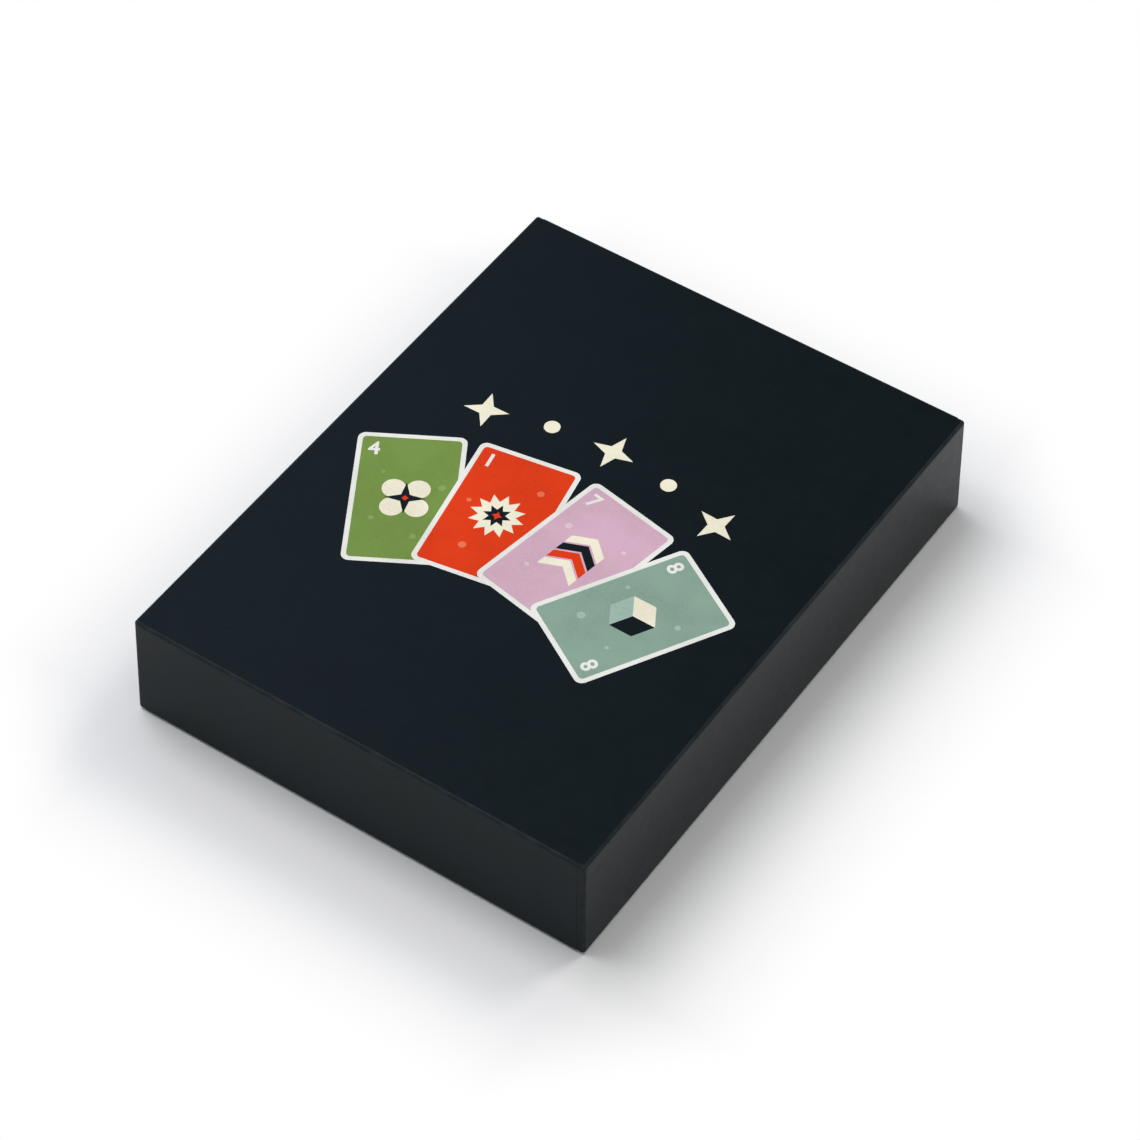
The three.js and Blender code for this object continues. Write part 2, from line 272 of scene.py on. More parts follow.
def paper_core(name):
    """The cut edge and the reverse of the printed paper."""
    look = Finish(name)
    fibre = look.fit(look.noise(0.12, detail=4, stretch=(1, 1, 3)))
    look.bump(look.noise(0.1, detail=3), depth=0.01)
    body = look.mix(fibre, colour(0x26292C), colour(0x3B3E41))
    return look.finish(body, roughness=0.85, specular=0.2)


def greyboard(name):
    """Recycled board: grey pulp with paler and darker flecks, and a fibrous face."""
    look = Finish(name)
    body = look.mix(look.fit(look.noise(5, detail=4)), colour(0x8B8578), colour(0x9A9488))
    pale = look.fit(look.noise(0.5, detail=6, stretch=(3, 1, 1)), low=0.58)
    body = look.mix(look.times(pale, 0.6), body, colour(0xC2BDB0))
    dark = look.fit(look.noise(0.35, detail=5, stretch=(1, 2.5, 1)), low=0.6, high=0.72)
    body = look.mix(look.times(dark, 0.55), body, colour(0x5C574D))
    look.bump(look.noise(0.6, detail=5, stretch=(2, 1, 1)), depth=0.05)
    look.bump(look.noise(0.15, detail=3), depth=0.02)
    return look.finish(body, roughness=0.93, specular=0.25)


def kraft_tape(name):
    """Brown gummed paper, with fibres along the strip."""
    look = Finish(name)
    fibre = look.fit(look.noise(0.25, detail=5, stretch=(1, 1, 8)))
    body = look.mix(fibre, colour(0xA47E50), colour(0xC09A6B))
    look.bump(fibre, depth=0.015)
    return look.finish(body, look.fit(look.noise(1.5), to_low=0.6, to_high=0.75), specular=0.35)


def white_carton(name):
    """Coated white carton, creased: a soft uneven white with fine pores."""
    look = Finish(name)
    cloud = look.fit(look.noise(7, detail=4))
    body = look.mix(cloud, colour(0xE7E5DE), colour(0xECEAE4))
    speck = look.fit(look.noise(0.3, detail=5), low=0.64, high=0.74)
    body = look.mix(look.times(speck, 0.35), body, colour(0xC3BFB2))
    look.bump(look.noise(0.4, detail=4), depth=0.012)
    look.bump(look.noise(12), depth=0.03, strength=0.6)
    return look.finish(body, look.fit(cloud, 0, 1, to_low=0.58, to_high=0.68), specular=0.4)


def leaflet_ink(name, ink):
    """Ink on uncoated paper: fibres show through it, and the sheet isn't quite flat."""
    look = Finish(name)
    fibre = look.fit(look.noise(0.3, detail=5))
    body = look.mix(fibre, shade(ink, 0.94), shade(ink, 1.03))
    look.bump(look.noise(22, detail=1), depth=0.25, strength=0.6)
    look.bump(look.noise(0.25, detail=4), depth=0.01)
    return look.finish(body, roughness=0.82, specular=0.3)


def card_ink(name, ink):
    """Ink on playing card stock, varnished over fine dimples that let air between the cards."""
    look = Finish(name)
    cloud = look.fit(look.noise(4, detail=3))
    body = look.mix(cloud, shade(ink, 0.95), shade(ink, 1.03))
    cells = {"Vector": look.place, "Scale": 1 / (0.55 * MM), "Randomness": 0.15}
    dimple = look.add("ShaderNodeTexVoronoi", cells).outputs["Distance"]
    look.bump(look.fit(dimple, low=0.1, high=0.6), depth=0.012, strength=0.7)
    return look.finish(body, look.fit(cloud, 0, 1, to_low=0.36, to_high=0.44), specular=0.5)


def card_edge(name):
    """The cut side of a card, with fibres that run along it."""
    look = Finish(name)
    fibre = look.fit(look.noise(0.3, detail=3, stretch=(4, 4, 0.4)))
    look.bump(fibre, depth=0.002)
    body = look.mix(fibre, colour(0xDAD8D1), colour(0xEDEBE5))
    return look.finish(body, roughness=0.75, specular=0.3)


LAMINATED = {ink: laminated(f"lid_print_{ink}", value) for ink, value in INKS.items()}
LAMINATED["core"] = paper_core("paper_core")
CARD_PRINT = {ink: card_ink(f"card_print_{ink}", value) for ink, value in INKS.items()}
CARD_PRINT["core"] = card_edge("card_edge")
LEAFLET_PRINT = {ink: leaflet_ink(f"leaflet_print_{ink}", value) for ink, value in INKS.items()}
LEAFLET_PRINT["core"] = leaflet_ink("leaflet_edge", colour(0xE6E4DC))


# Outlines, in millimetres

def circle(radius, x=0.0, y=0.0):
    turns = [2 * math.pi * step / CIRCLE_STEPS for step in range(CIRCLE_STEPS)]
    return [Vector((x + radius * math.cos(t), y + radius * math.sin(t))) for t in turns]


def star(points, outer, inner):
    """Points of two radii by turns, with the first one up."""
    outline = []
    for step in range(2 * points):
        radius = inner if step % 2 else outer
        turn = math.pi / 2 + math.pi * step / points
        outline.append(Vector((radius * math.cos(turn), radius * math.sin(turn))))
    return outline


def rhombus(width, height):
    across = Vector((width / 2, 0))
    up = Vector((0, height / 2))
    return [up, -across, -up, across]


def rounded(width, height, radius, steps=CARD_CORNER_STEPS):
    """A rectangle with round corners, counter-clockwise."""
    outline = []
    for corner, (way_x, way_y) in enumerate(QUADRANTS):
        middle = Vector((way_x * (width / 2 - radius), way_y * (height / 2 - radius)))
        for step in range(steps + 1):
            turn = math.pi / 2 * (corner + step / steps)
            outline.append(middle + radius * Vector((math.cos(turn), math.sin(turn))))
    return outline


def moved(outline, x=0.0, y=0.0, scale=1.0, turn=0.0):
    rotation = Matrix.Rotation(turn, 2)
    return [rotation @ (point * scale) + Vector((x, y)) for point in outline]


def counter_clockwise(outline):
    area = sum(first.cross(second) for first, second in zip(outline, outline[1:] + outline[:1]))
    return outline if area > 0 else outline[::-1]


def goes_round(outline, x, y):
    """Whether an outline goes round a point, by the even-odd rule."""
    inside = False
    before = outline[-1]
    for point in outline:
        if (point[1] > y) != (before[1] > y):
            share = (y - before[1]) / (point[1] - before[1])
            inside ^= x < before[0] + share * (point[0] - before[0])
        before = point
    return inside


def bounded(outline):
    """The bounds of an outline, and its points as plain tuples, which are quicker to test."""
    xs = [point[0] for point in outline]
    ys = [point[1] for point in outline]
    return min(xs), max(xs), min(ys), max(ys), list(zip(xs, ys))


def lies_in(shapes, x, y):
    """Whether a point is in an odd number of bounded outlines, so that one can be a hole in another."""
    inside = False
    for left, right, bottom, top, outline in shapes:
        if left < x < right and bottom < y < top:
            inside ^= goes_round(outline, x, y)
    return inside


def numeral(text):
    """Outlines of a bold numeral, centred."""
    curve = bpy.data.curves.new("numeral", "FONT")
    curve.body = text
    curve.offset = NUMERAL_BOLDNESS
    curve.resolution_u = NUMERAL_CURVE_STEPS
    holder = bpy.data.objects.new("numeral", curve)
    shape = bmesh.new()
    shape.from_mesh(holder.to_mesh())
    bmesh.ops.remove_doubles(shape, verts=shape.verts, dist=NUMERAL_WELD)
    rim = [edge for edge in shape.edges if len(edge.link_faces) == 1]
    outlines = []
    while rim:
        edge = rim.pop()
        first, vert = edge.verts
        outline = [first.co.xy, vert.co.xy]
        while vert is not first:
            edge = next(e for e in vert.link_edges if e in rim)
            rim.remove(edge)
            vert = edge.other_vert(vert)
            outline.append(vert.co.xy)
        outlines.append(outline[:-1])
    shape.free()
    holder.to_mesh_clear()
    bpy.data.objects.remove(holder)
    bpy.data.curves.remove(curve)
    every = [point for outline in outlines for point in outline]
    low = Vector((min(p.x for p in every), min(p.y for p in every)))
    high = Vector((max(p.x for p in every), max(p.y for p in every)))
    middle = (low + high) / 2
    scale = NUMERAL_HEIGHT / (high.y - low.y)
    return [[(point - middle) * scale for point in outline] for outline in outlines]


# Artwork: lists of layers, each an ink and its outlines, from the lowest up. A card is drawn upright
# round its middle.

def layers_moved(layers, **place):
    return [(ink, [moved(outline, **place) for outline in outlines]) for ink, outlines in layers]


def clover():
    petal = 6.2
    petals = [("cream", [circle(petal, x * petal, y * petal)]) for x in (-1, 1) for y in (-1, 1)]
    return petals + [("night", [star(4, outer=10.5, inner=3.2)]), ("red", [rhombus(3.6, 3.6)])]


def sun():
    return [
        ("cream", [star(12, outer=14.5, inner=9.5)]),
        ("night", [star(8, outer=7.6, inner=4.2)]),
        ("red", [star(4, outer=2.8, inner=1.4)]),
    ]


def chevrons():
    wing, rise, thick = 11.0, 7.0, 5.4
    chevron = [Vector(point) for point in (
        (0, rise + thick), (-wing, thick), (-wing, 0), (0, rise), (wing, 0), (wing, thick),
    )]
    rows = (("cream", 3.5), ("night", -3.1), ("red", -9.7), ("cream", -16.3))
    return [(ink, [moved(chevron, y=y)]) for ink, y in rows]


def cube():
    side = 13.0
    turns = [math.pi / 2 + math.pi / 3 * step for step in range(6)]
    rim = [Vector((side * math.cos(t), side * math.sin(t))) for t in turns]
    middle = Vector((0.0, 0.0))
    return [
        ("cream", [[rim[0], rim[1], middle, rim[5]]]),
        ("light_teal", [[rim[1], rim[2], rim[3], middle]]),
        ("night", [[rim[3], rim[4], rim[5], middle]]),
    ]


# Each suit's emblem, and its spots: shares of the way to the field's sides, and a radius
SUITS = {
    "green": (clover, ((-0.62, -0.35, 1.5), (0.7, 0.2, 2.0), (-0.5, 0.42, 1.1), (0.25, -0.62, 1.7))),
    "red": (sun, ((0.55, 0.55, 1.9), (-0.68, 0.1, 1.3), (-0.3, -0.6, 2.1), (0.72, -0.2, 1.2))),
    "lilac": (chevrons, ((-0.66, 0.3, 2.0), (0.6, 0.45, 1.2), (0.66, -0.38, 2.2), (-0.55, -0.5, 1.3))),
    "teal": (cube, ((0.64, 0.4, 1.6), (-0.7, 0.15, 1.2), (-0.45, -0.55, 2.2), (0.5, -0.5, 1.1))),
}


def card_face(suit, number):
    """A field of the suit's colour with spots, an emblem and a numeral at two corners."""
    emblem, spots = SUITS[suit]
    layers = [(suit, [rounded(FIELD_WIDTH, FIELD_HEIGHT, FIELD_CORNER)])]
    for across, up, radius in spots:
        layers.append((f"light_{suit}", [circle(radius, across * FIELD_WIDTH / 2, up * FIELD_HEIGHT / 2)]))
    layers += emblem()
    digits = numeral(str(number))
    for turn, way in ((0, 1), (math.pi, -1)):
        place = {"x": way * NUMERAL_PLACE.x, "y": way * NUMERAL_PLACE.y, "turn": turn}
        layers.append(("white", [moved(outline, **place) for outline in digits]))
    return layers


def card_back():
    """A dark field in a thin frame, with a lattice of lozenges round a large one."""
    columns, rows = 7, 11
    margin = 4.5
    clear_x, clear_y = 12, 17  # the lattice leaves a rhombus of twice this free in the middle
    pitch_x = (FIELD_WIDTH - 2 * margin) / (columns - 1)
    pitch_y = (FIELD_HEIGHT - 2 * margin) / (rows - 1)
    line = [
        rounded(FIELD_WIDTH - 2 * inset, FIELD_HEIGHT - 2 * inset, radius)
        for inset, radius in ((1.2, 1.6), (1.7, 1.2))
    ]
    layers = [("night", [rounded(FIELD_WIDTH, FIELD_HEIGHT, FIELD_CORNER)]), ("teal", line)]
    colours = ("green", "cream", "lilac", "teal", "red")
    for column in range(columns):
        for row in range(rows):
            x = (column - (columns - 1) / 2) * pitch_x
            y = (row - (rows - 1) / 2) * pitch_y
            if abs(x) / clear_x + abs(y) / clear_y > 1:
                ink = colours[(column + 2 * row) % len(colours)]
                layers.append((ink, [moved(rhombus(2.6, 3.8), x, y)]))
    layers.append(("cream", [rhombus(19, 28)]))
    layers.append(("night", [rhombus(14, 20.6)]))
    for ink, x, y in (("green", 0, 4.4), ("red", 0, -4.4), ("lilac", -3, 0), ("teal", 3, 0)):
        layers.append((ink, [moved(rhombus(4.6, 6.8), x, y)]))
    return layers


BACK = card_back()


def white_card(corner=CARD_CORNER):
    return ("white", [rounded(CARD_WIDTH, CARD_LENGTH, corner)])


def on_arc(radius, turn):
    """A place round the fan's pivot, clockwise from straight up."""
    return FAN_PIVOT + radius * Vector((math.sin(turn), math.cos(turn)))


def lid_artwork():
    layers = []
    for index, (suit, number) in enumerate(FAN):
        turn = (index - (len(FAN) - 1) / 2) * FAN_STEP
        middle = on_arc(FAN_RADIUS, turn)
        card = [white_card(FAN_CARD_CORNER)] + card_face(suit, number)
        layers += layers_moved(card, x=middle.x, y=middle.y, scale=FAN_SCALE, turn=-turn)
    for index in range(SPARKS):
        turn = (index - (SPARKS - 1) / 2) * SPARK_STEP
        middle = on_arc(SPARK_RADIUS, turn)
        shape = circle(DOT_RADIUS) if index % 2 else star(4, SPARK_TIP, SPARK_WAIST)
        layers.append(("cream", [moved(shape, middle.x, middle.y, turn=-turn)]))
    return layers


def leaflet_artwork(low_x, high_x, top):
    """A cover for the rules: a coloured band, three small cards and bars in place of words."""
    width = high_x - low_x
    middle = (low_x + high_x) / 2
    band_y = top - 17
    cards_y = top - 48
    bars_y = top - 68
    lozenge_pitch = 10
    card_pitch = 20
    bar_pitch = 3
    margin = 8
    layers = [("night", [moved(rounded(width - 12, 16, radius=2), middle, band_y)])]
    for index, ink in enumerate(("green", "red", "lilac", "teal")):
        layers.append((ink, [moved(rhombus(6, 9), middle + (index - 1.5) * lozenge_pitch, band_y)]))
    for index, (suit, number) in enumerate((("lilac", 7), ("green", 4), ("red", 1))):
        outline = rounded(CARD_WIDTH + 2, CARD_LENGTH + 2, CARD_CORNER)
        card = [("night", [outline]), white_card()] + card_face(suit, number)
        layers += layers_moved(card, x=middle + (index - 1) * card_pitch, y=cards_y, scale=0.29)
    for row, share in enumerate((1, 0.94, 0.98, 0.6, 0, 1, 0.96, 0.9, 0.97, 0.45)):
        if share:
            length = (width - 2 * margin) * share
            bar = rounded(length, 1.1, radius=0.5, steps=3)
            layers.append(("grey", [moved(bar, low_x + margin + length / 2, bars_y - row * bar_pitch)]))
    return layers


# Pieces

class Skin:
    """The faces of one piece, welded where their points meet."""

    def __init__(self):
        self.points = []
        # How pale each point is rubbed: partly wear, partly a painted highlight on the folds
        self.wear = []
        self.numbers = {}
        self.faces = []
        self.inks = []

    def point(self, place, wear=0.0):
        # A Vector's single precision first, which is all that the points of a filled outline have
        key = tuple(round(value, WELD_DIGITS) for value in Vector(place))
        if key not in self.numbers:
            self.numbers[key] = len(self.points)
            self.points.append(key)
            self.wear.append(wear)
        return self.numbers[key]

    def face(self, numbers, ink):
        corners = [n for index, n in enumerate(numbers) if n != numbers[index - 1]]
        if len(corners) > 2:
            self.faces.append(corners)
            self.inks.append(ink)

    def plate(self, outline, z, layers=(), ground="night"):
        """Fills a flat outline, giving each part the ink of the highest layer over it."""
        points = []
        loops = []
        for shape in [outline] + [shape for _, shapes in layers for shape in shapes]:
            ring = counter_clockwise([Vector(point[:2]) for point in shape])
            loops.append(list(range(len(points), len(points) + len(ring))))
            points += ring
        found, _, parts, _, _, _ = delaunay_2d_cdt(points, [], loops, CDT_INSIDE, CDT_EPSILON)
        numbers = [self.point((*place, z)) for place in found]
        covers = [(ink, [bounded(shape) for shape in shapes]) for ink, shapes in reversed(layers)]
        for part in parts:
            x = sum(found[n].x for n in part) / len(part)
            y = sum(found[n].y for n in part) / len(part)
            inks = (ink for ink, shapes in covers if lies_in(shapes, x, y))
            self.face([numbers[n] for n in part], next(inks, ground))

    def band(self, lower, upper, ink):
        """Joins two closed rings of numbered points."""
        for side in range(len(lower)):
            self.face([lower[side - 1], lower[side], upper[side], upper[side - 1]], ink)

    def build(self, name, finishes):
        used = sorted(set(self.inks))
        mesh = bpy.data.meshes.new(name)
        mesh.from_pydata([Vector(point) * MM for point in self.points], [], self.faces)
        for ink in used:
            mesh.materials.append(finishes[ink])
        mesh.polygons.foreach_set("material_index", [used.index(ink) for ink in self.inks])
        mesh.attributes.new("wear", "FLOAT", "POINT").data.foreach_set("value", self.wear)
        shape = bmesh.new()
        shape.from_mesh(mesh)
        bmesh.ops.recalc_face_normals(shape, faces=shape.faces)
        shape.to_mesh(mesh)
        shape.free()
        mesh.shade_smooth()
        mesh.set_sharp_from_angle(angle=SMOOTH_ANGLE)
        piece = bpy.data.objects.new(name, mesh)
        bpy.context.scene.collection.objects.link(piece)
        flat = piece.modifiers.new("flat_faces", "WEIGHTED_NORMAL")
        flat.keep_sharp = True
        return piece


def hand_over(piece, node, body):
    """Hides the node that a piece stands for, and makes the piece move with its body."""
    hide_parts(node)
    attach(piece, body)


def millimetres(node):
    low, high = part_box(node)
    return low / MM, high / MM


# Paper round a tray: rings from the middle of the panel over the rim to the turned-in end and back

class Tray:
    """A tray with its panel down where facing is 1, or up where it is -1."""

    def __init__(self, node, facing):
        low, high = millimetres(node)
        self.lean = LID_LEAN if facing < 0 else 0.0
        self.half_x = high.x - self.lean
        self.half_y = high.y - PAPER - self.lean
        self.height = high.z - low.z
        self.panel = low.z if facing > 0 else high.z
        self.facing = facing

    def place(self, x, y, rise):
        """Where a point lies, once the walls lean out."""
        lean = self.lean * rise / self.height
        return x * (1 + lean / self.half_x), y * (1 + lean / self.half_y), self.panel + self.facing * rise


def quarter_turns(steps):
    return [math.pi / 2 * step / steps for step in range(steps + 1)]


def tray_ring(tray, inset, rise, lap=0.0, corner_rise=None, wear=0.0):
    """Points of one ring with their wear and painted fold highlight, and whether the side after each is a
    lap's cut edge.
    """
    corner_rise = rise if corner_rise is None else corner_rise
    radius = max(CORNER_RADIUS - inset, INNER_RADIUS)
    seam_x = tray.half_x - WALL - LAP_MARGIN
    taper_x = tray.half_x - WALL - TAPER_RUN
    taper_y = tray.half_y - WALL - TAPER_RUN
    ring = []
    for index, (way_x, way_y) in enumerate(QUADRANTS):
        corner = []
        for turn in quarter_turns(CORNER_STEPS):
            x = way_x * (tray.half_x - inset - radius + radius * math.cos(turn))
            y = way_y * (tray.half_y - inset - radius + radius * math.sin(turn))
            corner.append((x, y, corner_rise, wear + CORNER_WEAR_AND_HIGHLIGHT * math.sin(2 * turn), False))
        ring += corner if way_x * way_y > 0 else corner[::-1]
        if index % 2 == 0:
            y = way_y * (tray.half_y - inset)
            raised = way_y * (tray.half_y - inset + lap)
            ring.append((way_x * seam_x, y, corner_rise, wear, lap > 0))
            ring.append((way_x * (seam_x - LAP_SLOPE), raised, corner_rise, wear, False))
            ring.append((way_x * taper_x, raised, rise, wear, False))
            ring.append((-way_x * taper_x, raised, rise, wear, False))
            ring.append((-way_x * (seam_x - LAP_SLOPE), raised, corner_rise, wear, lap > 0))
            ring.append((-way_x * seam_x, y, corner_rise, wear, False))
        else:
            x = way_x * (tray.half_x - inset)
            ring.append((x, way_y * taper_y, rise, wear, False))
            ring.append((x, -way_y * taper_y, rise, wear, False))
    return ring


def tray_rings(tray):
    """The rings, each with the ink of the band after it."""
    rim = tray.height
    turns = quarter_turns(FOLD_STEPS)
    rings = []

    def add(ink, inset, rise, **settings):
        rings.append((tray_ring(tray, inset, rise, **settings), ink))

    # Over the fold, down the wall and round the rim to the inside, where wear and a painted highlight make
    # the paper paler on the bends
    for turn in turns:
        inset = FOLD_RADIUS * (1 - math.sin(turn))
        rise = FOLD_RADIUS * (1 - math.cos(turn))
        add("night", inset, rise, lap=PAPER, wear=math.sin(2 * turn))
    for rise in (FOLD_RADIUS + SUPPORT, rim - RIM_RADIUS - SUPPORT):
        add("night", 0.0, rise, lap=PAPER)
    for turn in turns:
        inset = RIM_RADIUS * (1 - math.cos(turn))
        rise = rim - RIM_RADIUS * (1 - math.sin(turn))
        add("night", inset, rise, lap=PAPER, wear=math.sin(turn))
    for turn in turns:
        inset = WALL - RIM_RADIUS * (1 - math.sin(turn))
        rise = rim - RIM_RADIUS * (1 - math.cos(turn))
        add("night", inset, rise, wear=math.cos(turn))
    # The turned-in end, and back along the side that is glued to the board
    board = WALL - PAPER
    for inset in (WALL, board):
        add("core", inset, rim - TURN_IN_DEPTH, corner_rise=rim - TAPER_START)
    for inset in (board, PAPER):
        add("core", inset, rim - PAPER)
    glued_radius = FOLD_RADIUS - PAPER
    for turn in reversed(turns):
        inset = FOLD_RADIUS - glued_radius * math.sin(turn)
        rise = FOLD_RADIUS - glued_radius * math.cos(turn)
        add("core", inset, rise)
    return rings


def tray_paper(name, node, body, facing, layers=()):
    tray = Tray(node, facing)
    skin = Skin()
    rings = tray_rings(tray)
    numbered = []
    for ring, _ in rings:
        numbered.append([skin.point(tray.place(x, y, rise), wear) for x, y, rise, wear, _ in ring])
    for (ring, ink), lower, upper in zip(rings, numbered, numbered[1:]):
        for side, (*_, cut) in enumerate(ring):
            after = (side + 1) % len(ring)
            skin.face([lower[side], lower[after], upper[after], upper[side]], "core" if cut else ink)
    for (ring, _), inks in ((rings[0], {"layers": layers}), (rings[-1], {"ground": "core"})):
        outline = [tray.place(*point[:3]) for point in ring]
        skin.plate(outline, outline[0][2], **inks)
    hand_over(skin.build(name, LAMINATED), node, body)


# Cards

def along_x(layers, mirrored=False):
    """Turns upright artwork so that its top points along X, seen from above, or mirrored from below."""
    way = 1 if mirrored else -1
    return [(ink, [[Vector((p.y, way * p.x)) for p in shape] for shape in shapes]) for ink, shapes in layers]


def add_card(skin, x, y, low, high, top=(), bottom=()):
    rings = []
    for inset, z in ((CARD_EDGE, low), (0, low + CARD_EDGE), (0, high - CARD_EDGE), (CARD_EDGE, high)):
        outline = rounded(CARD_LENGTH - 2 * inset, CARD_WIDTH - 2 * inset, CARD_CORNER - inset)
        rings.append([(point.x + x, point.y + y, z) for point in outline])
    numbered = [[skin.point(place) for place in ring] for ring in rings]
    for lower, upper in zip(numbered, numbered[1:]):
        skin.band(lower, upper, "core")
    skin.plate(rings[0], low, layers_moved(bottom, x=x, y=y), "white")
    skin.plate(rings[-1], high, layers_moved(top, x=x, y=y), "white")


def single_card(name, node, body, suit, number, face_up):
    low, high = millimetres(node)
    middle = (low + high) / 2
    face = card_face(suit, number)
    upper, under = (face, BACK) if face_up else (BACK, face)
    skin = Skin()
    prints = {"top": along_x(upper), "bottom": along_x(under, mirrored=True)}
    add_card(skin, middle.x, middle.y, low.z + CARD_AIR, high.z, **prints)
    hand_over(skin.build(name, CARD_PRINT), node, body)


def lower_cards(name, node, body, side):
    """The cards under the single ones, each a separate sheet of the one piece."""
    low, high = millimetres(node)
    middle = (low + high) / 2
    top_low, top_high = millimetres(node.replace("lower_cards", "card_01"))
    pitch = top_high.z - top_low.z
    count = round((high.z - low.z) / pitch)
    skin = Skin()
    for index in range(count):
        card = SINGLE_CARDS + 1 + index
        x = middle.x + side * STACK_SLIP * math.sin(card * STACK_SLIP_TURN)
        y = middle.y + STACK_SIDE_SLIP * math.sin(card * STACK_SIDE_TURN)
        top = high.z - index * pitch
        add_card(skin, x, y, top - pitch + CARD_AIR, top)
    hand_over(skin.build(name, CARD_PRINT), node, body)


def deck(name, side, face_up):
    """A deck with its suits and numbers in a fixed order that looks shuffled."""
    suits = list(SUITS)
    for card in range(1, SINGLE_CARDS + 1):
        node = f"{name}_card_{card:02d}"
        body = f"{name.split('_')[0]}_top_card" if card == 1 else name
        suit = suits[(card + card // 5) % len(suits)]
        number = (3 * card + 5) % 10
        single_card(f"{node}_printed", node, body, suit, number, face_up)
    lower_cards(f"{name}_lower_cards_printed", f"{name}_lower_cards", name, side)


# Leaflet: panels in a zigzag, the top one printed

def leaflet_line(half_width, low, pitch):
    """Centre line in X and Z, and where on it the top panel starts."""
    fold_x = half_width - pitch / 2 - LEAFLET_PAPER / 2
    bottom = low + LEAFLET_PAPER / 2
    line = [Vector((-half_width, bottom))]
    for panel in range(LEAFLET_PANELS - 1):
        way = 1 if panel % 2 == 0 else -1
        for step in range(LEAFLET_BEND_STEPS + 1):
            turn = math.pi * step / LEAFLET_BEND_STEPS
            x = way * (fold_x + pitch / 2 * math.sin(turn))
            z = bottom + panel * pitch + pitch / 2 * (1 - math.cos(turn))
            line.append(Vector((x, z)))
    top_start = len(line) - 1
    line.append(Vector((-way * half_width, bottom + (LEAFLET_PANELS - 1) * pitch)))
    return line, top_start


def offset_line(line, distance):
    """The line moved to its left."""
    result = []
    for index, point in enumerate(line):
        before = line[max(index - 1, 0)]
        after = line[min(index + 1, len(line) - 1)]
        way = (after - before).normalized()
        result.append(point + distance * Vector((-way.y, way.x)))
    return result


def leaflet(name, node, body):
    low, high = millimetres(node)
    pitch = (high.z - low.z - LEAFLET_PAPER) / (LEAFLET_PANELS - 1)
    line, top_start = leaflet_line(high.x, low.z, pitch)
    above = offset_line(line, LEAFLET_PAPER / 2)
    below = offset_line(line, -LEAFLET_PAPER / 2)
    skin = Skin()
    ends = (low.y, high.y)

    def across(first, second, ink):
        """The face between two points of the line, from one end of the leaflet to the other."""
        corners = [(first.x, y, first.y) for y in ends] + [(second.x, y, second.y) for y in reversed(ends)]
        skin.face([skin.point(corner) for corner in corners], ink)

    for side in (above, below):
        for index in range(len(line) - 1):
            if side is below or index != top_start:
                across(side[index], side[index + 1], "white")
    for index in (0, len(line) - 1):
        across(above[index], below[index], "core")
    for y in ends:
        for index in range(len(line) - 1):
            corners = (above[index], above[index + 1], below[index + 1], below[index])
            skin.face([skin.point((corner.x, y, corner.y)) for corner in corners], "core")
    low_x, high_x = sorted((above[top_start].x, above[top_start + 1].x))
    outline = [(low_x, low.y), (high_x, low.y), (high_x, high.y), (low_x, high.y)]
    skin.plate(outline, above[top_start].y, leaflet_artwork(low_x, high_x, high.y), "white")
    hand_over(skin.build(name, LEAFLET_PRINT), node, body)


# The object

tray_paper("lid_printed_paper", "lid_wrap", "lid", facing=-1, layers=lid_artwork())
tray_paper("base_printed_paper", "base_wrap", "base", facing=1)
deck("front_deck", side=-1, face_up=False)
deck("back_deck", side=1, face_up=True)
leaflet("rules_leaflet_printed", "rules_leaflet", "leaflet")

# Nodes that are shown as the model has them, by a word in their names
as_modelled = {
    "board": greyboard("greyboard"),
    "stay": kraft_tape("kraft_tape"),
    "divider": white_carton("white_carton"),
}
for name, node in nodes.items():
    for word, material in as_modelled.items():
        if word in name:
            node.data.materials.clear()
            node.data.materials.append(material)


# Stage: a white floor that keeps the shadow and fades to plain white, soft lamps, a white room

FLOOR_SIZE = 4.0
FLOOR_DROP = 0.05
FLOOR_COLOUR = (0.93, 0.93, 0.93, 1)
FADE_START = 4.0  # millimetres from the bounds of the box, once they are moved by the shift
FADE_END = 34.0
FADE_SHIFT = (1.0, -2.0, 0.0)
ROOM_LIGHT = (0.74, 0.74, 0.72, 1)
ROOM_LIGHT_END = 0.05  # sine of the elevation, as the next one is
CEILING_LIGHT = (0.27, 0.28, 0.28, 1)
CEILING_LIGHT_START = 0.55
LAMP_DISTANCE = 1.2

# Azimuth from +X to +Y and elevation in degrees, size in metres, power in watts, and colour
LAMPS = {
    "left_softbox": (183, 66, 0.7, 7.1, (0.97, 0.96, 1.0)),
    "overhead_softbox": (100, 84, 0.4, 0.8, (0.97, 0.97, 1.0)),
    "back_softbox": (69, 50, 0.3, 2.45, (1.0, 0.98, 0.94)),
    "cool_softbox": (138, 44, 0.45, 0.75, (0.45, 0.58, 1.0)),
}


def white_for_the_eye(look, share):
    """The look's own surface, by a share plain white for camera, glossy and transmission rays."""
    path = look.add("ShaderNodeLightPath").outputs
    seen = path["Is Camera Ray"]
    for ray in ("Is Glossy Ray", "Is Transmission Ray"):
        either = {0: seen, 1: path[ray]}
        seen = look.add("ShaderNodeMath", either, operation="ADD", use_clamp=True).outputs[0]
    white = look.add("ShaderNodeEmission").outputs[0]
    shaders = {0: look.times(seen, share), 1: look.shader.outputs[0], 2: white}
    return look.add("ShaderNodeMixShader", shaders).outputs[0]


